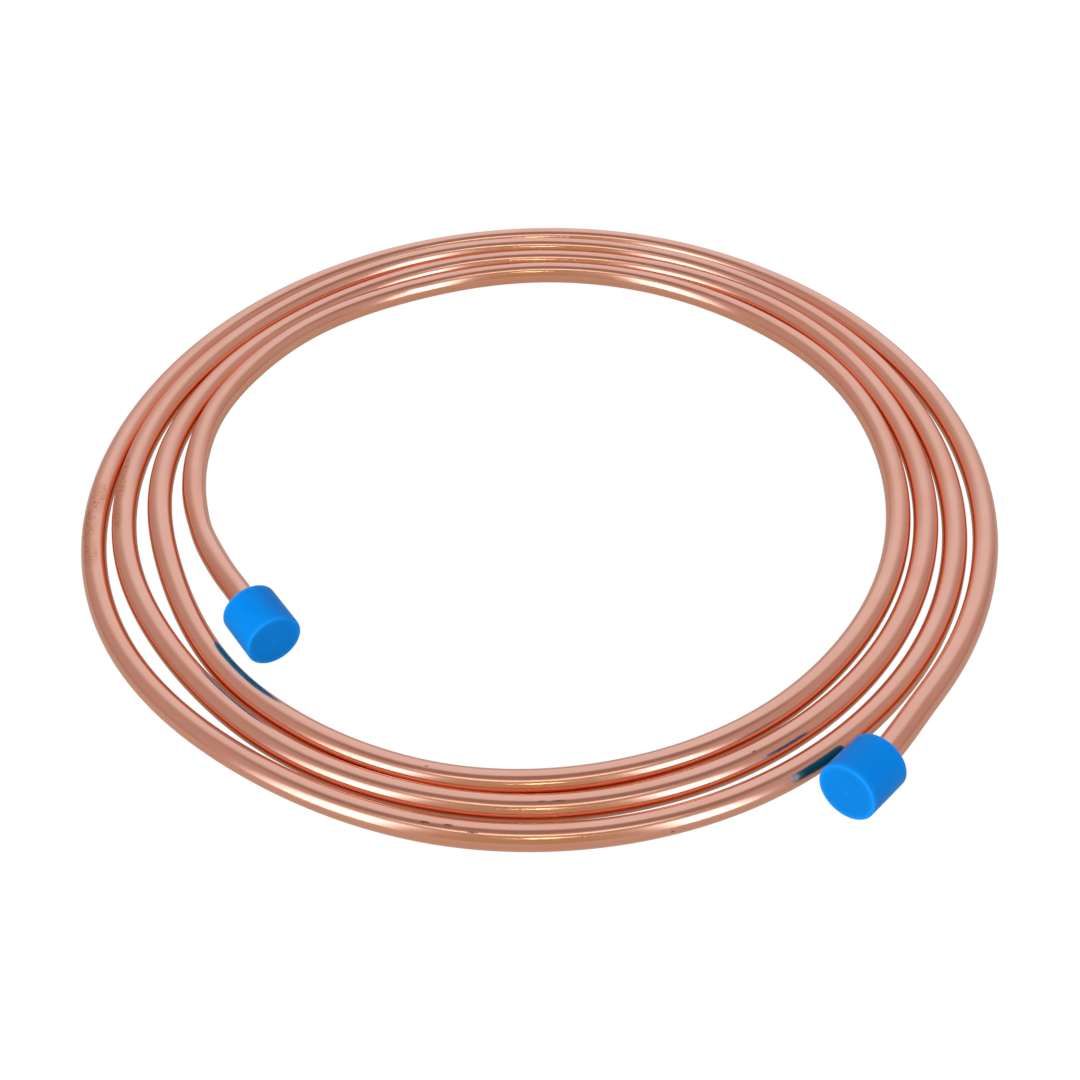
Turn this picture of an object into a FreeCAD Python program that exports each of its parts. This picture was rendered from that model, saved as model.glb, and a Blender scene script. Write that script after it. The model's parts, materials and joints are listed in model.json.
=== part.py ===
import FreeCAD, Part

import math
import os

# Flat coil of soft copper tube lying on the floor, with a moulded plastic cap on each end.
# Millimetres, +Z up, floor at z = 0, origin on the floor under the middle of the bounding box.
# Seen from above the tube winds outwards clockwise.

# ---- driving dimensions -------------------------------------------------------------
TUBE_OD = 12.70          # half-inch tube
TUBE_WALL = 0.81
CAP_R = 14.28            # outer radius of the cap's skirt
CAP_LEN = 26.27
CAP_SKIRT_WALL = 1.6
CAP_END_WALL = 2.2
CAP_SLEEVE_WALL = 1.4    # inner sleeve that grips the tube
CAP_SLEEVE_SETBACK = 2.0  # the sleeve stops this far inside the open rim
CAP_RIM_R = 0.7          # rounding of the closed end
CAP_LIP_R = 0.4          # rounding of the open rim
TUBE_END_GAP = 0.4       # tube end to the inside of the closed end

# Where each cap's open rim is (x, y, z of its centre), and the way the cap points:
# heading seen from above, and how far it noses up, both in degrees.
INNER_CAP = {"rim": (-141.16, -98.62, 14.29), "heading": -55.5, "rise": 0.0}
OUTER_CAP = {"rim": (152.34, -196.41, 14.29), "heading": -133.4, "rise": 6.1}

# Lay of the tube's centre line: (angle clockwise from -X seen from above, degrees;
# distance from the coil's axis; height above the floor).
LAY = [
    (-29.5, 171.90, 12.90), (-26.1, 172.78, 11.71), (-22.7, 173.86, 10.39), (-19.3, 175.21, 9.08),
    (-15.9, 176.93, 7.89), (-12.5, 178.80, 6.97), (-9.1, 180.54, 6.45), (-5.7, 182.28, 6.37), (-2.3, 184.06, 6.61),
    (1.1, 185.55, 7.02), (4.5, 186.93, 7.48), (7.9, 188.10, 7.91), (11.3, 189.27, 8.23), (14.7, 190.29, 8.40),
    (18, 190.99, 8.45), (30, 191.98, 8.26), (42, 191.73, 8.73), (54, 191.22, 7.71), (66, 190.76, 6.65),
    (78, 191.51, 6.49), (90, 192.54, 6.92), (102, 193.06, 7.37), (114, 193.62, 7.45), (126, 194.25, 7.33),
    (138, 195.16, 7.29), (150, 196.25, 7.49), (162, 196.15, 7.56), (174, 195.44, 7.17), (186, 195.02, 6.67),
    (198, 194.99, 6.51), (210, 195.23, 6.97), (222, 195.95, 7.51), (234, 197.41, 7.57), (246, 198.56, 7.53),
    (258, 199.50, 7.51), (270, 200.57, 7.27), (282, 201.21, 7.10), (294, 200.84, 7.20), (306, 200.38, 7.12),
    (318, 199.97, 7.01), (330, 198.30, 7.51), (342, 198.22, 8.21), (354, 200.97, 8.50), (366, 203.49, 8.20),
    (378, 204.50, 7.50), (390, 204.78, 6.81), (402, 204.42, 6.40), (414, 204.02, 6.37), (426, 204.07, 6.71),
    (438, 204.91, 7.12), (450, 205.75, 7.13), (462, 206.66, 7.06), (474, 207.65, 7.33), (486, 208.61, 7.87),
    (498, 209.24, 8.20), (510, 209.41, 7.65), (522, 209.36, 6.90), (534, 209.27, 6.78), (546, 209.15, 7.05),
    (558, 209.22, 7.41), (570, 209.80, 7.61), (582, 210.79, 7.61), (594, 211.74, 7.46), (606, 212.69, 7.30),
    (618, 213.42, 7.24), (630, 214.08, 7.30), (642, 214.09, 7.41), (654, 214.20, 7.56), (666, 214.27, 8.07),
    (678, 213.89, 8.77), (690, 215.08, 9.07), (702, 217.66, 8.93), (714, 219.29, 8.63), (726, 219.51, 8.61),
    (738, 218.67, 8.75), (750, 217.58, 8.47), (762, 217.15, 8.21), (774, 217.06, 8.43), (786, 217.61, 8.63),
    (798, 218.41, 8.39), (810, 219.40, 7.66), (822, 220.51, 7.15), (834, 221.15, 7.29), (846, 221.54, 7.17),
    (858, 222.03, 6.63), (870, 222.28, 6.37), (882, 222.37, 6.37), (894, 222.90, 6.37), (906, 223.59, 6.37),
    (918, 224.54, 6.37), (930, 225.68, 6.39), (942, 226.58, 6.43), (954, 227.49, 6.42), (966, 228.27, 6.40),
    (978, 228.52, 6.37), (990, 228.57, 6.37), (1002, 228.54, 6.53), (1014, 228.30, 6.99), (1026, 229.16, 7.46),
    (1038, 231.81, 7.73), (1050, 234.28, 7.75), (1062, 234.96, 7.44), (1074, 234.36, 6.85), (1086, 232.91, 6.44),
    (1098, 231.30, 6.37), (1110, 230.31, 6.37), (1122, 229.84, 6.37), (1134, 229.79, 6.37), (1146, 230.29, 6.37),
    (1158, 231.12, 6.37), (1170, 232.23, 6.37), (1182, 233.51, 6.39), (1194, 234.19, 6.37), (1206, 234.35, 6.37),
    (1218, 234.97, 6.37), (1230, 235.98, 6.42), (1242, 237.23, 6.64), (1254, 238.35, 6.80), (1268, 239.28, 6.98),
    (1273, 239.45, 7.45), (1278, 239.53, 8.38), (1283, 239.79, 9.64), (1288, 240.20, 10.96), (1293, 240.76, 12.02),
    (1298, 241.37, 12.62), (1303, 242.42, 12.91),
]

# ---- helpers ------------------------------------------------------------------------
V = FreeCAD.Vector


def unit(v):
    w = V(v)
    w.normalize()
    return w


def lay_point(angle, radius, height):
    t = math.radians(angle)
    return V(-radius * math.cos(t), radius * math.sin(t), height)


def heading(cap):
    a, e = math.radians(cap["heading"]), math.radians(cap["rise"])
    return V(math.cos(a) * math.cos(e), math.sin(a) * math.cos(e), math.sin(e))


def biarc(p0, t0, p1, t1):
    """Two tangent arcs from p0 to p1, each as (start, corner, end)."""
    v = p1 - p0
    t = t0 + t1
    a = 2 * (1 - t0.dot(t1))
    b = 2 * v.dot(t)
    c = -v.dot(v)
    d = -c / b if abs(a) < 1e-12 else (-b + math.sqrt(b * b - 4 * a * c)) / (2 * a)
    q0 = p0 + t0 * d
    q1 = p1 - t1 * d
    j = (q0 + q1) * 0.5
    return [(p0, q0, j), (j, q1, p1)]


def arc_edge(p, q, s):
    u, w = unit(q - p), unit(s - q)
    half = math.acos(max(-1.0, min(1.0, u.dot(w)))) / 2
    if half < 1e-5:
        return Part.LineSegment(p, s).toShape(), None
    k = math.cos(half)
    m = (p + q * (2 * k) + s) * (1 / (2 + 2 * k))
    return Part.Arc(p, m, s).toShape(), (q - p).Length / math.tan(half)


def pipe(wire, start, direction, radius):
    circle = Part.Circle(start, direction, radius).toShape()
    return wire.makePipe(Part.Face(Part.Wire(circle)))


# ---- the tube -----------------------------------------------------------------------
a_in, a_out = heading(INNER_CAP), heading(OUTER_CAP)
rim_in, rim_out = V(*INNER_CAP["rim"]), V(*OUTER_CAP["rim"])
insert = CAP_LEN - CAP_END_WALL - TUBE_END_GAP
tip_in, tip_out = rim_in + a_in * insert, rim_out + a_out * insert

points = [rim_in] + [lay_point(*row) for row in LAY] + [rim_out]
tangents = [a_in * -1.0]
for i in range(1, len(points) - 1):
    a, b = points[i] - points[i - 1], points[i + 1] - points[i]
    tangents.append(unit(a * (b.Length / a.Length) + b * (a.Length / b.Length)))
tangents.append(V(a_out))

edges = [Part.LineSegment(tip_in, rim_in).toShape()]
radii = []
for i in range(len(points) - 1):
    for corner in biarc(points[i], tangents[i], points[i + 1], tangents[i + 1]):
        edge, r = arc_edge(*corner)
        edges.append(edge)
        if r:
            radii.append((r, i))
edges.append(Part.LineSegment(rim_out, tip_out).toShape())
path = Part.Wire(edges)

outer = pipe(path, tip_in, a_in * -1.0, TUBE_OD / 2)
bore = pipe(path, tip_in, a_in * -1.0, TUBE_OD / 2 - TUBE_WALL)
tube = outer.cut(bore).Solids[0]


# ---- the caps -----------------------------------------------------------------------
def make_cap(rim, axis):
    """One moulding: skirt, closed end and the inner sleeve; open ring at the back."""
    ri = TUBE_OD / 2
    rs = ri + CAP_SLEEVE_WALL
    rw = CAP_R - CAP_SKIRT_WALL
    L, e = CAP_LEN, CAP_LEN - CAP_END_WALL
    c, b = CAP_RIM_R, CAP_LIP_R
    k = math.sqrt(0.5)

    def p(r, x):
        return V(r, 0, x)

    seg = [
        Part.LineSegment(p(0, e), p(ri, e)),
        Part.LineSegment(p(ri, e), p(ri, CAP_SLEEVE_SETBACK)),
        Part.LineSegment(p(ri, CAP_SLEEVE_SETBACK), p(rs, CAP_SLEEVE_SETBACK)),
        Part.LineSegment(p(rs, CAP_SLEEVE_SETBACK), p(rs, e)),
        Part.LineSegment(p(rs, e), p(rw, e)),
        Part.LineSegment(p(rw, e), p(rw, 0)),
        Part.LineSegment(p(rw, 0), p(CAP_R - b, 0)),
        Part.Arc(p(CAP_R - b, 0), p(CAP_R - b + b * k, b - b * k), p(CAP_R, b)),
        Part.LineSegment(p(CAP_R, b), p(CAP_R, L - c)),
        Part.Arc(p(CAP_R, L - c), p(CAP_R - c + c * k, L - c + c * k), p(CAP_R - c, L)),
        Part.LineSegment(p(CAP_R - c, L), p(0, L)),
        Part.LineSegment(p(0, L), p(0, e)),
    ]
    wire = Part.Wire([s.toShape() for s in seg])
    body = Part.Face(wire).revolve(V(0, 0, 0), V(0, 0, 1), 360)
    if body.Volume < 0:
        body.reverse()
    turn = FreeCAD.Rotation(V(0, 0, 1), axis)
    body.Placement = FreeCAD.Placement(rim, turn)
    return body


nodes = {
    "copper_tube": tube,
    "inner_end_cap": make_cap(rim_in, a_in),
    "outer_end_cap": make_cap(rim_out, a_out),
}

# ---- origin on the floor under the middle of the box ----------------------------------
low, high = [1e9] * 3, [-1e9] * 3
for shape in nodes.values():
    box = shape.optimalBoundingBox(False, False)
    for i, (a, b) in enumerate(((box.XMin, box.XMax), (box.YMin, box.YMax), (box.ZMin, box.ZMax))):
        low[i], high[i] = min(low[i], a), max(high[i], b)
shift = V(-(low[0] + high[0]) / 2, -(low[1] + high[1]) / 2, -low[2])

os.makedirs("parts", exist_ok=True)
for name, shape in nodes.items():
    shape.translate(shift)
    shape.exportStep(os.path.join("parts", name + ".step"))
    print(name, shape.ShapeType, "valid", shape.isValid(), "solids", len(shape.Solids), "volume %.1f" % shape.Volume)

section = math.pi * ((TUBE_OD / 2) ** 2 - (TUBE_OD / 2 - TUBE_WALL) ** 2)
length = sum(e.Length for e in edges)
print("tube length %.1f, section x length %.1f, volume %.1f" % (length, section * length, tube.Volume))
print("smallest radii", sorted((round(r, 1), i) for r, i in radii)[:6])
print("box", [round(h - l, 2) for l, h in zip(low, high)], "shift", [round(c, 3) for c in shift])
for label, rim, axis in (("inner", rim_in, a_in), ("outer", rim_out, a_out)):
    face = rim + axis * CAP_LEN + shift
    print(label, "cap face", [round(c, 3) for c in face], "axis", [round(c, 5) for c in axis])
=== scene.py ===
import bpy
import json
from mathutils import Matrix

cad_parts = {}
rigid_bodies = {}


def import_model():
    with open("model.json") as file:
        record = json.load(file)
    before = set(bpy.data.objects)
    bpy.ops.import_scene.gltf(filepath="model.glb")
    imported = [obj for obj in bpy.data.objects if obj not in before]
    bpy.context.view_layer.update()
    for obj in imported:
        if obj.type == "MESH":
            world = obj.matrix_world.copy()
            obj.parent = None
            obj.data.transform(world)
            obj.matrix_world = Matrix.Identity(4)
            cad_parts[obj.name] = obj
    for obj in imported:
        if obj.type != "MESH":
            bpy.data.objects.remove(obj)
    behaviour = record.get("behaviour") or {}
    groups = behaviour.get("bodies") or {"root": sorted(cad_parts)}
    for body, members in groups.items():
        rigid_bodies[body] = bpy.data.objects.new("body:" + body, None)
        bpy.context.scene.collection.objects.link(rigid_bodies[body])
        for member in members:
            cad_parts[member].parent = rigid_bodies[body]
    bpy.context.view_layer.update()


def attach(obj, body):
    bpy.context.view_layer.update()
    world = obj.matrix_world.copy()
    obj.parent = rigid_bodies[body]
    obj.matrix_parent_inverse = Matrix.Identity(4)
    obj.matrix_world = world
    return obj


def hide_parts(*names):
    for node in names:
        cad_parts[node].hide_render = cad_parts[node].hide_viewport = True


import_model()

import json
import math

import bmesh
import bpy
import numpy as np
from mathutils import Matrix, Vector

MM = 0.001
# ---- the tube's lay, the same points as in part.py (mm; moved by SHIFT into the row frame) ----
SHIFT = np.array((-2.517, -1.867, 0.013))
TUBE_R = 6.35
TUBE_WALL = 0.81
CAP_R = 14.28
CAP_LEN = 26.27
INNER = {"rim": (-141.16, -98.62, 14.29), "heading": -55.5, "rise": 0.0}
OUTER = {"rim": (152.34, -196.41, 14.29), "heading": -133.4, "rise": 6.1}
LAY = [
    (-29.5, 171.90, 12.90), (-26.1, 172.78, 11.71), (-22.7, 173.86, 10.39), (-19.3, 175.21, 9.08),
    (-15.9, 176.93, 7.89), (-12.5, 178.80, 6.97), (-9.1, 180.54, 6.45), (-5.7, 182.28, 6.37), (-2.3, 184.06, 6.61),
    (1.1, 185.55, 7.02), (4.5, 186.93, 7.48), (7.9, 188.10, 7.91), (11.3, 189.27, 8.23), (14.7, 190.29, 8.40),
    (18, 190.99, 8.45), (30, 191.98, 8.26), (42, 191.73, 8.73), (54, 191.22, 7.71), (66, 190.76, 6.65),
    (78, 191.51, 6.49), (90, 192.54, 6.92), (102, 193.06, 7.37), (114, 193.62, 7.45), (126, 194.25, 7.33),
    (138, 195.16, 7.29), (150, 196.25, 7.49), (162, 196.15, 7.56), (174, 195.44, 7.17), (186, 195.02, 6.67),
    (198, 194.99, 6.51), (210, 195.23, 6.97), (222, 195.95, 7.51), (234, 197.41, 7.57), (246, 198.56, 7.53),
    (258, 199.50, 7.51), (270, 200.57, 7.27), (282, 201.21, 7.10), (294, 200.84, 7.20), (306, 200.38, 7.12),
    (318, 199.97, 7.01), (330, 198.30, 7.51), (342, 198.22, 8.21), (354, 200.97, 8.50), (366, 203.49, 8.20),
    (378, 204.50, 7.50), (390, 204.78, 6.81), (402, 204.42, 6.40), (414, 204.02, 6.37), (426, 204.07, 6.71),
    (438, 204.91, 7.12), (450, 205.75, 7.13), (462, 206.66, 7.06), (474, 207.65, 7.33), (486, 208.61, 7.87),
    (498, 209.24, 8.20), (510, 209.41, 7.65), (522, 209.36, 6.90), (534, 209.27, 6.78), (546, 209.15, 7.05),
    (558, 209.22, 7.41), (570, 209.80, 7.61), (582, 210.79, 7.61), (594, 211.74, 7.46), (606, 212.69, 7.30),
    (618, 213.42, 7.24), (630, 214.08, 7.30), (642, 214.09, 7.41), (654, 214.20, 7.56), (666, 214.27, 8.07),
    (678, 213.89, 8.77), (690, 215.08, 9.07), (702, 217.66, 8.93), (714, 219.29, 8.63), (726, 219.51, 8.61),
    (738, 218.67, 8.75), (750, 217.58, 8.47), (762, 217.15, 8.21), (774, 217.06, 8.43), (786, 217.61, 8.63),
    (798, 218.41, 8.39), (810, 219.40, 7.66), (822, 220.51, 7.15), (834, 221.15, 7.29), (846, 221.54, 7.17),
    (858, 222.03, 6.63), (870, 222.28, 6.37), (882, 222.37, 6.37), (894, 222.90, 6.37), (906, 223.59, 6.37),
    (918, 224.54, 6.37), (930, 225.68, 6.39), (942, 226.58, 6.43), (954, 227.49, 6.42), (966, 228.27, 6.40),
    (978, 228.52, 6.37), (990, 228.57, 6.37), (1002, 228.54, 6.53), (1014, 228.30, 6.99), (1026, 229.16, 7.46),
    (1038, 231.81, 7.73), (1050, 234.28, 7.75), (1062, 234.96, 7.44), (1074, 234.36, 6.85), (1086, 232.91, 6.44),
    (1098, 231.30, 6.37), (1110, 230.31, 6.37), (1122, 229.84, 6.37), (1134, 229.79, 6.37), (1146, 230.29, 6.37),
    (1158, 231.12, 6.37), (1170, 232.23, 6.37), (1182, 233.51, 6.39), (1194, 234.19, 6.37), (1206, 234.35, 6.37),
    (1218, 234.97, 6.37), (1230, 235.98, 6.42), (1242, 237.23, 6.64), (1254, 238.35, 6.80), (1268, 239.28, 6.98),
    (1273, 239.45, 7.45), (1278, 239.53, 8.38), (1283, 239.79, 9.64), (1288, 240.20, 10.96), (1293, 240.76, 12.02),
    (1298, 241.37, 12.62), (1303, 242.42, 12.91),
]


def heading(c):
    a, e = math.radians(c["heading"]), math.radians(c["rise"])
    return np.array((math.cos(a) * math.cos(e), math.sin(a) * math.cos(e), math.sin(e)))


a_in, a_out = heading(INNER), heading(OUTER)
rim_in, rim_out = np.array(INNER["rim"]), np.array(OUTER["rim"])


# ---- centre line: one smooth cubic spline through the lay --------------------------------
def solve_spline(t, y):
    """Natural cubic spline's second derivatives at the points."""
    n = len(t)
    h = np.diff(t)
    A = np.zeros((n, n))
    b = np.zeros((n, y.shape[1]))
    A[0, 0] = A[-1, -1] = 1.0
    for i in range(1, n - 1):
        A[i, i - 1], A[i, i], A[i, i + 1] = h[i - 1], 2 * (h[i - 1] + h[i]), h[i]
        b[i] = 6 * ((y[i + 1] - y[i]) / h[i] - (y[i] - y[i - 1]) / h[i - 1])
    return np.linalg.solve(A, b)


pts = [rim_in + a_in * s for s in (22.0, 11.0, 0.0)]
for a, r, z in LAY:
    t = math.radians(a)
    pts.append(np.array((-r * math.cos(t), r * math.sin(t), z)))
pts += [rim_out + a_out * s for s in (0.0, 11.0, 22.0)]
P = np.array(pts)
chord = np.concatenate([[0], np.cumsum(np.linalg.norm(np.diff(P, axis=0), axis=1))])
M2 = solve_spline(chord, P)


def spline(u):
    k = np.clip(np.searchsorted(chord, u) - 1, 0, len(chord) - 2)
    h = chord[k + 1] - chord[k]
    a = ((chord[k + 1] - u) / h)[:, None]
    b = ((u - chord[k]) / h)[:, None]
    h = h[:, None]
    return a * P[k] + b * P[k + 1] + ((a**3 - a) * M2[k] + (b**3 - b) * M2[k + 1]) * h * h / 6


U = np.arange(0, chord[-1], 2.6)
C = spline(U)
# height never under the tube's radius
C[:, 2] = np.maximum(C[:, 2], TUBE_R)
T = np.gradient(C, axis=0)
T /= np.linalg.norm(T, axis=1, keepdims=True)


# ---- meshes ---------------------------------------------------------------------------
def new_object(name, verts, faces, smooth=True):
    me = bpy.data.meshes.new(name)
    me.from_pydata([tuple(v) for v in verts], [], [tuple(f) for f in faces])
    me.validate()
    bm = bmesh.new()
    bm.from_mesh(me)
    bmesh.ops.recalc_face_normals(bm, faces=bm.faces)
    bm.to_mesh(me)
    bm.free()
    me.update()
    if smooth:
        me.polygons.foreach_set("use_smooth", [True] * len(me.polygons))
    ob = bpy.data.objects.new(name, me)
    bpy.context.scene.collection.objects.link(ob)
    return ob


theta = np.unwrap(np.arctan2(C[:, 1], -C[:, 0]))
theta = np.degrees(theta)
theta += 360 * round((-34 - theta[8]) / 360)


def bump(x, centre, width):
    return np.exp(-(((x - centre) / width) ** 2))


# the hand-made bend near the inner end pinches the tube a little, and a slight kink sits on the far side
PINCH = 0.075 * bump(theta, -10.5, 4.5) + 0.03 * bump(theta, 66.0, 1.6)


def tube_mesh(name, C, T, around=40):
    up = np.array((0.0, 0.0, 1.0))
    S = np.cross(T, up)
    S /= np.linalg.norm(S, axis=1, keepdims=True)
    N = np.cross(S, T)
    ph = np.linspace(0, 2 * math.pi, around, endpoint=False) - math.pi / 2
    co, si = np.cos(ph), np.sin(ph)
    n = len(C)
    rings = []
    wide = (1 - PINCH)[:, None, None]
    tall = (1 + 0.5 * PINCH)[:, None, None]
    outer = C[:, None, :] + TUBE_R * (wide * co[None, :, None] * S[:, None, :] + tall * si[None, :, None] * N[:, None, :])
    verts = list(((outer.reshape(-1, 3)) + SHIFT) * MM)
    faces = []
    for i in range(n - 1):
        a, b = i * around, (i + 1) * around
        for j in range(around):
            k = (j + 1) % around
            faces.append((a + j, a + k, b + k, b + j))
    # cut ends: annulus and a stretch of the bore, hidden in the caps
    ri = TUBE_R - TUBE_WALL
    for end, inward in ((0, 1), (n - 1, -1)):
        base = end * around
        ring1 = len(verts)
        for d in (0, 1):
            i = end + inward * d * 5
            ring = C[i] + ri * (co[:, None] * S[i] + si[:, None] * N[i])
            verts += list((ring + SHIFT) * MM)
        for j in range(around):
            k = (j + 1) % around
            f1 = (base + j, ring1 + j, ring1 + k, base + k)
            f2 = (ring1 + j, ring1 + around + j, ring1 + around + k, ring1 + k)
            if inward < 0:
                f1, f2 = f1[::-1], f2[::-1]
            faces += [f1, f2]
        f3 = tuple(ring1 + around + j for j in range(around))
        faces.append(f3 if inward < 0 else f3[::-1])
    ob = new_object(name, verts, faces)
    # u: metres along the tube, v: metres round it from underneath
    me = ob.data
    s_len = np.concatenate([[0], np.cumsum(np.linalg.norm(np.diff(C, axis=0), axis=1))]) * MM
    uv = me.uv_layers.new(name="lay")
    loops = np.empty(len(me.loops), dtype=np.int64)
    me.loops.foreach_get("vertex_index", loops)
    ring = np.minimum(loops // around, n - 1)
    col = loops % around
    data = np.zeros((len(loops), 2))
    data[:, 0] = s_len[ring]
    data[:, 1] = col / around
    starts = np.arange(0, (n - 1) * around * 4, 4)
    quad = data[: (n - 1) * around * 4].reshape(-1, 4, 2)
    wrap = (quad[:, :, 1].max(axis=1) > 0.7) & (quad[:, :, 1].min(axis=1) < 0.3)
    q = quad[wrap]
    q[:, :, 1] = np.where(q[:, :, 1] < 0.3, q[:, :, 1] + 1.0, q[:, :, 1])
    quad[wrap] = q
    data[: (n - 1) * around * 4] = quad.reshape(-1, 2)
    data[:, 1] *= 2 * math.pi * TUBE_R * MM
    uv.data.foreach_set("uv", data.ravel())
    return ob, s_len


tube, s_len = tube_mesh("tube", C, T)
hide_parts("copper_tube")
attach(tube, "root")


def cap_mesh(name, rim, axis, around=96):
    """Turned profile of the cap: closed end with a soft rim, skirt, inner sleeve."""
    L, c, b = CAP_LEN, 0.9, 0.5
    e = CAP_LEN - 2.2
    rw, rs, ri = CAP_R - 1.6, TUBE_R + 1.4, TUBE_R
    prof = []
    # closed end from centre outwards: gate mark, shallow dish
    prof += [(0.0, L - 0.28), (0.28, L - 0.27), (0.5, L - 0.16), (0.62, L + 0.02), (0.8, L + 0.06), (0.98, L - 0.02), (1.2, L - 0.05)]
    for r in np.linspace(2.0, CAP_R - 1.9, 7):
        prof.append((r, L - 0.05))
    prof += [(CAP_R - 1.9 + 0.2, L - 0.05), (CAP_R - 1.45, L - 0.04), (CAP_R - 1.2, L)]
    for a in np.radians(np.linspace(90, 0, 9)):
        prof.append((CAP_R - c + c * math.cos(a), L - c + c * math.sin(a)))
    for x in np.linspace(L - c, b, 12)[1:-1]:
        prof.append((CAP_R, x))
    for a in np.radians(np.linspace(0, -90, 6)):
        prof.append((CAP_R - b + b * math.cos(a), b + b * math.sin(a)))
    prof += [(rw + 0.2, 0.0), (rw, 0.25), (rw, e), (rs, e), (rs, 2.2), (rs - 0.2, 2.0), (ri, 2.0), (ri, e), (0.0, e)]
    z = Vector(axis)
    rot = z.to_track_quat("Z", "Y").to_matrix()
    o = Vector(rim)
    verts, faces, ring_start = [], [], []
    for r, x in prof:
        if r == 0.0:
            ring_start.append((len(verts), 1))
            verts.append(o + rot @ Vector((0, 0, x)))
        else:
            ring_start.append((len(verts), around))
            for j in range(around):
                a = 2 * math.pi * j / around
                verts.append(o + rot @ Vector((r * math.cos(a), r * math.sin(a), x)))
    for (s0, n0), (s1, n1) in zip(ring_start, ring_start[1:]):
        for j in range(around):
            k = (j + 1) % around
            if n0 == 1:
                faces.append((s0, s1 + j, s1 + k))
            elif n1 == 1:
                faces.append((s0 + j, s1, s0 + k))
            else:
                faces.append((s0 + j, s1 + j, s1 + k, s0 + k))
    sh = Vector(SHIFT)
    ob = new_object(name, [(v + sh) * MM for v in verts], faces)
    # painted light: the blue is made brighter where light would shine through the narrow wall, at the closed end's
    # edge, the open lip and the gate mark
    glow = ob.data.attributes.new("painted_glow", "FLOAT", "POINT")
    values = []
    for (start, count), (r, x) in zip(ring_start, prof):
        edge = math.exp(-(((r - (CAP_R - 0.9)) ** 2 + (x - (L - 0.5)) ** 2) / 0.9))
        lip = 0.5 * math.exp(-((x / 1.6) ** 2)) if r > rw - 0.5 else 0.0
        gate = 0.8 if 0.55 < r < 0.9 and x > L - 0.1 else 0.0
        values += [max(edge, lip, gate)] * count
    glow.data.foreach_set("value", values)
    return ob


for name, cap, axis, node in (("cap_inner", INNER, a_in, "inner_end_cap"), ("cap_outer", OUTER, a_out, "outer_end_cap")):
    ob = cap_mesh(name, cap["rim"], axis)
    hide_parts(node)
    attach(ob, "root")


# ---- materials ------------------------------------------------------------------------
def principled(name):
    m = bpy.data.materials.new(name)
    m.use_nodes = True
    nt = m.node_tree
    return m, nt, nt.nodes["Principled BSDF"]


def noise(nt, scale, detail=3.0, rough=0.55, vec=None):
    n = nt.nodes.new("ShaderNodeTexNoise")
    n.inputs["Scale"].default_value = scale
    n.inputs["Detail"].default_value = detail
    n.inputs["Roughness"].default_value = rough
    if vec is not None:
        nt.links.new(vec, n.inputs["Vector"])
    return n


def ramp(nt, src, stops):
    r = nt.nodes.new("ShaderNodeValToRGB")
    el = r.color_ramp.elements
    while len(el) > 1:
        el.remove(el[-1])
    el[0].position, el[0].color = stops[0][0], (*stops[0][1], 1)
    for p, c in stops[1:]:
        e = el.new(p)
        e.color = (*c, 1)
    nt.links.new(src, r.inputs["Fac"])
    return r


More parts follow.
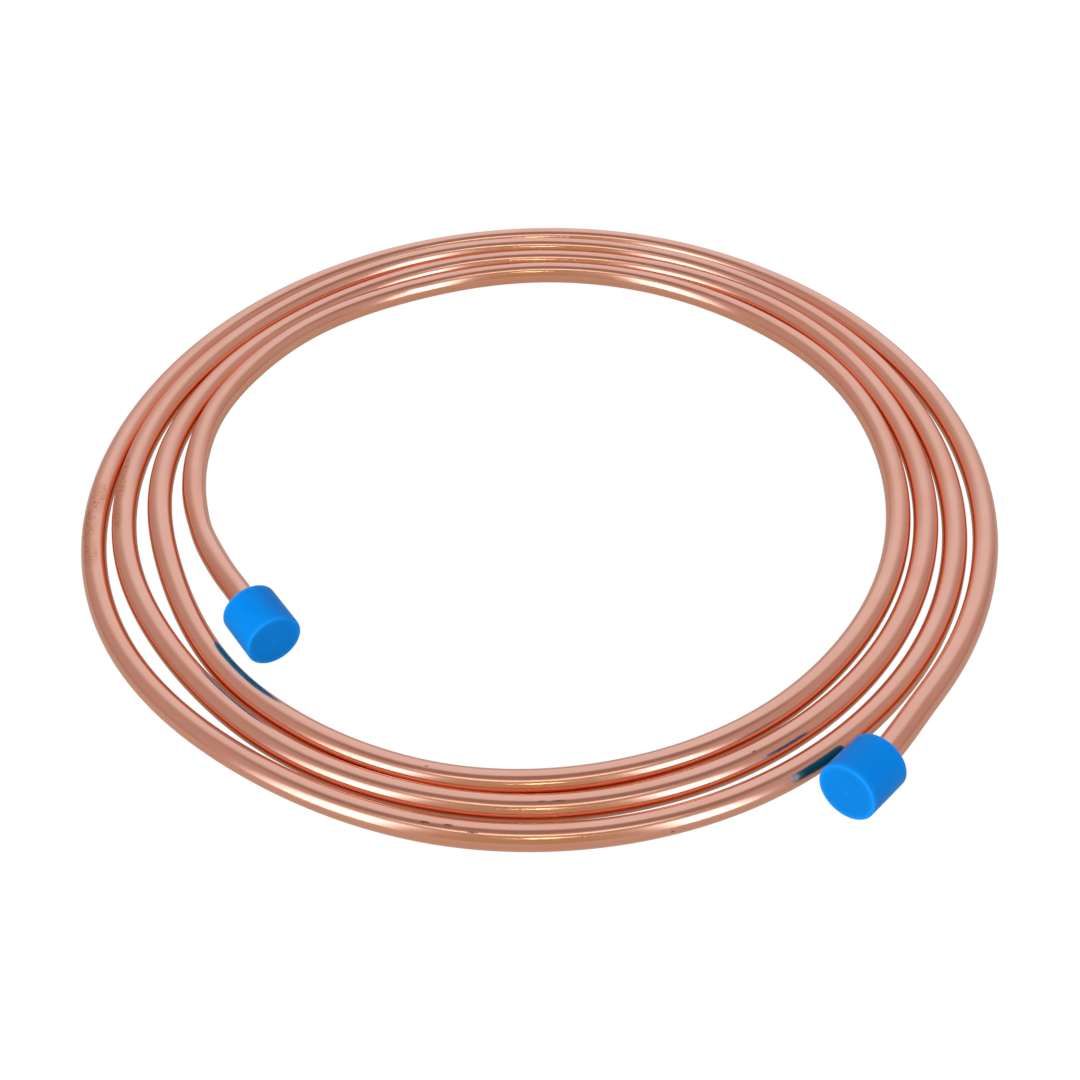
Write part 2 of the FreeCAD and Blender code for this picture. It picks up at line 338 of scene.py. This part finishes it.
def copper_material():
    m, nt, bs = principled("bright_copper")
    tc = nt.nodes.new("ShaderNodeTexCoord")
    obj = tc.outputs["Object"]
    uvn = nt.nodes.new("ShaderNodeUVMap")
    uvn.uv_map = "lay"
    uv = uvn.outputs["UV"]
    sep = nt.nodes.new("ShaderNodeSeparateXYZ")
    nt.links.new(uv, sep.inputs[0])

    def math_(op, a, b=None, c=None):
        n = nt.nodes.new("ShaderNodeMath")
        n.operation = op
        for i, v in enumerate((a, b, c)):
            if v is None:
                continue
            if isinstance(v, (int, float)):
                n.inputs[i].default_value = v
            else:
                nt.links.new(v, n.inputs[i])
        return n.outputs[0]

    def scaled(vec, sx, sy, sz=1.0):
        mp = nt.nodes.new("ShaderNodeMapping")
        mp.inputs["Scale"].default_value = (sx, sy, sz)
        nt.links.new(vec, mp.inputs["Vector"])
        return mp.outputs["Vector"]

    def smooth(v, a, b):
        n = nt.nodes.new("ShaderNodeMapRange")
        n.interpolation_type = "SMOOTHSTEP"
        n.inputs["From Min"].default_value = a
        n.inputs["From Max"].default_value = b
        nt.links.new(v, n.inputs["Value"])
        return n.outputs["Result"]

    def spot(angle, round_deg, length, width):
        """1 at a place on the tube: angle of the lay, angle round it (0 inward, 90 up), size in metres."""
        u0 = float(np.interp(angle, theta, s_len))
        v0 = ((round_deg + 90) % 360) / 360 * 2 * math.pi * TUBE_R * MM
        du = math_("MULTIPLY", math_("SUBTRACT", sep.outputs["X"], u0), 1 / length)
        dv = math_("MULTIPLY", math_("SUBTRACT", sep.outputs["Y"], v0), 1 / width)
        d2 = math_("ADD", math_("MULTIPLY", du, du), math_("MULTIPLY", dv, dv))
        return math_("SUBTRACT", 1.0, smooth(d2, 0.15, 1.0))

    def total(items):
        out = items[0]
        for i in items[1:]:
            out = math_("MAXIMUM", out, i)
        return out

    # slow colour drift of the drawn skin, and fine streaks along the tube
    n1 = noise(nt, 30.0, 3.0, 0.55, obj)
    r1 = ramp(nt, n1.outputs["Fac"], [(0.3, (0.905, 0.403, 0.250)), (0.5, (0.92, 0.42, 0.265)), (0.72, (0.925, 0.437, 0.283))])
    streak = noise(nt, 1.0, 2.0, 0.5, scaled(uv, 22.0, 900.0))
    # patches where the skin has dulled, broken into small flecks and hairlines across the tube
    fleck = noise(nt, 1.0, 6.0, 0.75, scaled(uv, 420.0, 330.0))
    hair = noise(nt, 1.0, 4.0, 0.75, scaled(uv, 900.0, 200.0))
    patch = total([spot(1076, 78, 0.015, 0.0045), spot(1071, 106, 0.018, 0.0050), spot(1066, 96, 0.014, 0.0045),
                   spot(721, 124, 0.014, 0.0042), spot(717, 119, 0.016, 0.0046), spot(712, 114, 0.014, 0.0040)])
    broken = math_("MAXIMUM", smooth(fleck.outputs["Fac"], 0.47, 0.64), math_("MULTIPLY", smooth(hair.outputs["Fac"], 0.56, 0.70), 0.6))
    dull = math_("MULTIPLY", patch, broken)
    # small handling nicks
    ragged = smooth(noise(nt, 1.0, 3.0, 0.6, scaled(uv, 900.0, 1800.0)).outputs["Fac"], 0.32, 0.50)
    nick = math_("MULTIPLY", ragged, total([spot(a, p, l, w) for a, p, l, w in (
        (627.6, 99, 0.0045, 0.0006), (629.6, 98, 0.0025, 0.0005), (1002.4, 99, 0.0030, 0.0008), (999.8, 96, 0.0028, 0.0007),
        (997.1, 114, 0.0030, 0.0006), (975.6, 172, 0.0012, 0.0006), (284.3, 90, 0.0016, 0.0004), (602.8, 99, 0.0015, 0.0006))]))

    def mix(fac, a, colour):
        n = nt.nodes.new("ShaderNodeMix")
        n.data_type = "RGBA"
        nt.links.new(fac, n.inputs[0])
        nt.links.new(a, n.inputs[6])
        n.inputs[7].default_value = (*colour, 1)
        return n.outputs[2]

    c = mix(math_("MULTIPLY", smooth(streak.outputs["Fac"], 0.50, 0.80), 0.10), r1.outputs["Color"], (0.83, 0.36, 0.225))
    c = mix(math_("MULTIPLY", patch, 0.50), c, (0.80, 0.30, 0.14))
    c = mix(math_("MULTIPLY", dull, 0.62), c, (0.46, 0.15, 0.07))
    warm = total([spot(-3, 80, 0.020, 0.006), spot(-10, 95, 0.010, 0.004), spot(961.0, 168, 0.008, 0.004), spot(548, 75, 0.008, 0.006),
                  spot(563, 80, 0.007, 0.006), spot(902, 84, 0.008, 0.006), spot(182, 80, 0.010, 0.006)])
    c = mix(math_("MULTIPLY", warm, 0.35), c, (0.94, 0.34, 0.19))
    c = mix(math_("MULTIPLY", nick, 0.88), c, (0.17, 0.055, 0.032))
    nt.links.new(c, bs.inputs["Base Color"])
    bs.inputs["Metallic"].default_value = 1.0
    n2 = noise(nt, 90.0, 3.0, 0.6, obj)
    r2 = ramp(nt, n2.outputs["Fac"], [(0.25, (0.165,) * 3), (0.75, (0.205,) * 3)])
    rough = math_("ADD", r2.outputs["Color"], math_("ADD", math_("MULTIPLY", dull, 0.22), math_("MULTIPLY", nick, 0.30)))
    rough = math_("ADD", rough, math_("MULTIPLY", patch, 0.05))
    nt.links.new(rough, bs.inputs["Roughness"])
    # faint drawing lines and the dents under the nicks
    line = noise(nt, 1.0, 1.0, 0.5, scaled(uv, 9.0, 1500.0))
    bp = nt.nodes.new("ShaderNodeBump")
    bp.inputs["Strength"].default_value = 0.06
    bp.inputs["Distance"].default_value = 0.00004
    height = math_("SUBTRACT", line.outputs["Fac"], math_("MULTIPLY", math_("MAXIMUM", nick, math_("MULTIPLY", dull, 0.4)), 3.0))
    nt.links.new(height, bp.inputs["Height"])
    nt.links.new(bp.outputs["Normal"], bs.inputs["Normal"])
    return m


def cap_material():
    m, nt, bs = principled("blue_polyethylene")
    tc = nt.nodes.new("ShaderNodeTexCoord")
    n1 = noise(nt, 60.0, 3.0, 0.5, tc.outputs["Object"])
    r1 = ramp(nt, n1.outputs["Fac"], [(0.3, (0.0, 0.197, 0.60)), (0.7, (0.0, 0.213, 0.64))])
    # painted light: a brighter blue is mixed into the base colour at the closed end's edge, the open lip and the gate
    # mark, standing in for light shining through the wall
    at = nt.nodes.new("ShaderNodeAttribute")
    at.attribute_name = "painted_glow"
    mx = nt.nodes.new("ShaderNodeMix")
    mx.data_type = "RGBA"
    mm_ = nt.nodes.new("ShaderNodeMath")
    mm_.operation = "MULTIPLY"
    mm_.inputs[1].default_value = 0.75
    nt.links.new(at.outputs["Fac"], mm_.inputs[0])
    nt.links.new(mm_.outputs[0], mx.inputs[0])
    nt.links.new(r1.outputs["Color"], mx.inputs[6])
    mx.inputs[7].default_value = (0.01, 0.32, 0.90, 1)
    nt.links.new(mx.outputs[2], bs.inputs["Base Color"])
    fine = noise(nt, 900.0, 2.0, 0.5, tc.outputs["Object"])
    bp = nt.nodes.new("ShaderNodeBump")
    bp.inputs["Strength"].default_value = 0.10
    bp.inputs["Distance"].default_value = 0.0001
    nt.links.new(fine.outputs["Fac"], bp.inputs["Height"])
    nt.links.new(bp.outputs["Normal"], bs.inputs["Normal"])
    bs.inputs["Roughness"].default_value = 0.38
    bs.inputs["Specular IOR Level"].default_value = 0.06
    bs.inputs["Subsurface Weight"].default_value = 0.15
    bs.inputs["Subsurface Radius"].default_value = (0.2, 0.6, 1.0)
    bs.inputs["Subsurface Scale"].default_value = 0.002
    return m


copper = copper_material()
plastic = cap_material()
tube.data.materials.append(copper)
for n in ("cap_inner", "cap_outer"):
    bpy.data.objects[n].data.materials.append(plastic)

# ---- floor ------------------------------------------------------------------------------
me = bpy.data.meshes.new("floor")
me.from_pydata([(-6, -6, 0), (6, -6, 0), (6, 6, 0), (-6, 6, 0)], [], [(0, 1, 2, 3)])
floor = bpy.data.objects.new("floor", me)
bpy.context.scene.collection.objects.link(floor)
fm, nt, bs = principled("white_floor")
bs.inputs["Base Color"].default_value = (0.26, 0.27, 0.28, 1)
bs.inputs["Emission Color"].default_value = (1.0, 0.93, 0.78, 1)
bs.inputs["Emission Strength"].default_value = 0.29
bs.inputs["Roughness"].default_value = 0.9
bs.inputs["Specular IOR Level"].default_value = 0.0
# seen straight on, the floor is plain white, as the backdrop is
flp = nt.nodes.new("ShaderNodeLightPath")
fem = nt.nodes.new("ShaderNodeEmission")
fmx = nt.nodes.new("ShaderNodeMixShader")
nt.links.new(flp.outputs["Is Camera Ray"], fmx.inputs[0])
nt.links.new(bs.outputs[0], fmx.inputs[1])
nt.links.new(fem.outputs[0], fmx.inputs[2])
nt.links.new(fmx.outputs[0], nt.nodes["Material Output"].inputs["Surface"])
floor.data.materials.append(fm)

# ---- light: a plain white studio, as the bright metal sees it ----------------------------------
world = bpy.data.worlds.new("studio")
bpy.context.scene.world = world
world.use_nodes = True
wn = world.node_tree
bg = wn.nodes["Background"]
wtc = wn.nodes.new("ShaderNodeTexCoord")
wsep = wn.nodes.new("ShaderNodeSeparateXYZ")
wn.links.new(wtc.outputs["Generated"], wsep.inputs[0])


def wmath(op, a, b=None):
    n = wn.nodes.new("ShaderNodeMath")
    n.operation = op
    for i, v in enumerate((a, b)):
        if v is None:
            continue
        if isinstance(v, (int, float)):
            n.inputs[i].default_value = v
        else:
            wn.links.new(v, n.inputs[i])
    return n.outputs[0]


def step(v, a, b):
    """0 below a, 1 above b, smooth between; a > b turns it round."""
    n = wn.nodes.new("ShaderNodeMapRange")
    n.interpolation_type = "SMOOTHSTEP"
    n.inputs["From Min"].default_value = min(a, b)
    n.inputs["From Max"].default_value = max(a, b)
    n.inputs["To Min"].default_value = 0.0 if a < b else 1.0
    n.inputs["To Max"].default_value = 1.0 if a < b else 0.0
    wn.links.new(v, n.inputs["Value"])
    return n.outputs["Result"]


def band(v, a, b, c, d):
    return wmath("MULTIPLY", step(v, a, b), step(v, d, c))


DEG = 180 / math.pi
el = wmath("MULTIPLY", wmath("ARCSINE", wsep.outputs["Z"]), DEG)
front = wmath("MULTIPLY", wmath("ARCTAN2", wsep.outputs["X"], wsep.outputs["Y"]), DEG)
rear = wmath("MULTIPLY", wmath("ARCTAN2", wsep.outputs["X"], wmath("MULTIPLY", wsep.outputs["Y"], -1.0)), DEG)


def direction(az, e):
    az, e = math.radians(az), math.radians(e)
    return (math.sin(az) * math.cos(e), math.cos(az) * math.cos(e), math.sin(e))


def away(az, e):
    """Angle in degrees from a direction."""
    n = wn.nodes.new("ShaderNodeVectorMath")
    n.operation = "DOT_PRODUCT"
    wn.links.new(wtc.outputs["Generated"], n.inputs[0])
    n.inputs[1].default_value = direction(az, e)
    return wmath("MULTIPLY", wmath("ARCCOSINE", wmath("MINIMUM", n.outputs["Value"], 0.999999)), DEG)


sky = None


def layer(colour, weight=None):
    global sky
    if weight is None:
        n = wn.nodes.new("ShaderNodeRGB")
        n.outputs[0].default_value = (*colour, 1)
        sky = n.outputs[0]
        return
    n = wn.nodes.new("ShaderNodeMix")
    n.data_type = "RGBA"
    wn.links.new(weight, n.inputs[0])
    wn.links.new(sky, n.inputs[6])
    n.inputs[7].default_value = (*colour, 1)
    sky = n.outputs[2]


layer((0.516, 0.500, 0.557))                                                   # walls at the sides
layer((0.423, 0.381, 0.421), step(el, 28, -2))
layer((0.516, 0.500, 0.557), band(rear, -75, -40, 40, 75))
layer((0.797, 0.977, 1.232), wmath("MULTIPLY", band(front, -52, -6, 22, 62), step(el, 82, 70)))  # big soft panel beyond
layer((0.465, 0.435, 0.340), wmath("MULTIPLY", band(rear, -34, -18, 18, 32), step(el, 67, 61)))  # between the strips
layer((0.372, 0.333, 0.285), wmath("MULTIPLY", band(rear, -40, -20, 20, 40), band(el, 52, 56, 61, 64)))
layer((0.320, 0.280, 0.299), step(away(0, 83), 22, 12))                              # dark ceiling overhead
layer((0.330, 0.292, 0.312), step(away(72, 73), 20, 10))
layer((0.330, 0.292, 0.312), step(away(-70, 75), 17, 8))
layer((1.807, 2.321, 2.513), wmath("MULTIPLY", band(el, 64.5, 67.5, 70.5, 75), band(rear, -62, -40, 40, 62)))  # light behind, high
layer((2.272, 3.095, 4.008), wmath("MULTIPLY", band(rear, -65, -46, -37, -28), step(el, 58, 42)))  # left strip light
layer((2.375, 3.333, 4.483), wmath("MULTIPLY", band(rear, 25, 31, 41, 50), step(el, 53, 40)))      # right strip light
layer((26.848, 30.952, 23.094), step(away(179.5, 47), 1.6, 0.8))                        # two small lamps between them
layer((10.326, 11.905, 8.830), step(away(175.5, 47.5), 1.4, 0.7))

lp = wn.nodes.new("ShaderNodeLightPath")
backdrop = wn.nodes.new("ShaderNodeMix")
backdrop.data_type = "RGBA"
wn.links.new(lp.outputs["Is Camera Ray"], backdrop.inputs[0])
wn.links.new(sky, backdrop.inputs[6])
backdrop.inputs[7].default_value = (1, 1, 1, 1)
wn.links.new(backdrop.outputs[2], bg.inputs["Color"])
bg.inputs["Strength"].default_value = 1.0
world.cycles.sampling_method = "MANUAL"
world.cycles.sample_map_resolution = 1024

# soft lamps for the plastic and the floor; the metal shows the studio above instead
for name, where, power, size in (("key", (-1.1, -1.2, 1.1), 18.3, 0.9), ("fill", (0.9, -0.9, 1.5), 3.6, 1.2)):
    ld = bpy.data.lights.new(name, "AREA")
    ld.shape = "SQUARE"
    ld.size = size
    ld.energy = power
    lo = bpy.data.objects.new(name, ld)
    bpy.context.scene.collection.objects.link(lo)
    lo.location = where
    lo.rotation_euler = (-Vector(where)).to_track_quat("-Z", "Y").to_euler()
    lo.visible_glossy = False
    lo.visible_camera = False

# ---- camera -----------------------------------------------------------------------------
cam_data = bpy.data.cameras.new("camera")
cam = bpy.data.objects.new("camera", cam_data)
bpy.context.scene.collection.objects.link(cam)
pitch, roll = math.radians(45.25), math.radians(-0.90)
fw = Vector((0, math.cos(pitch), -math.sin(pitch)))
rt = Vector((1, 0, 0))
up = Vector((0, math.sin(pitch), math.cos(pitch)))
rt, up = math.cos(roll) * rt + math.sin(roll) * up, -math.sin(roll) * rt + math.cos(roll) * up
pos = Vector((0.42 * TUBE_R, -92.2 * TUBE_R, 86.6 * TUBE_R)) + Vector(SHIFT)
rot = Matrix((rt, up, -fw)).transposed()
cam.matrix_world = Matrix.Translation(pos * MM) @ rot.to_4x4()
cam_data.sensor_width = 36.0
cam_data.lens = 1466.0 / 1080.0 * 36.0
cam_data.clip_start = 0.01
bpy.context.scene.camera = cam
bpy.context.scene.view_settings.view_transform = "Standard"
bpy.context.scene.view_settings.look = "None"
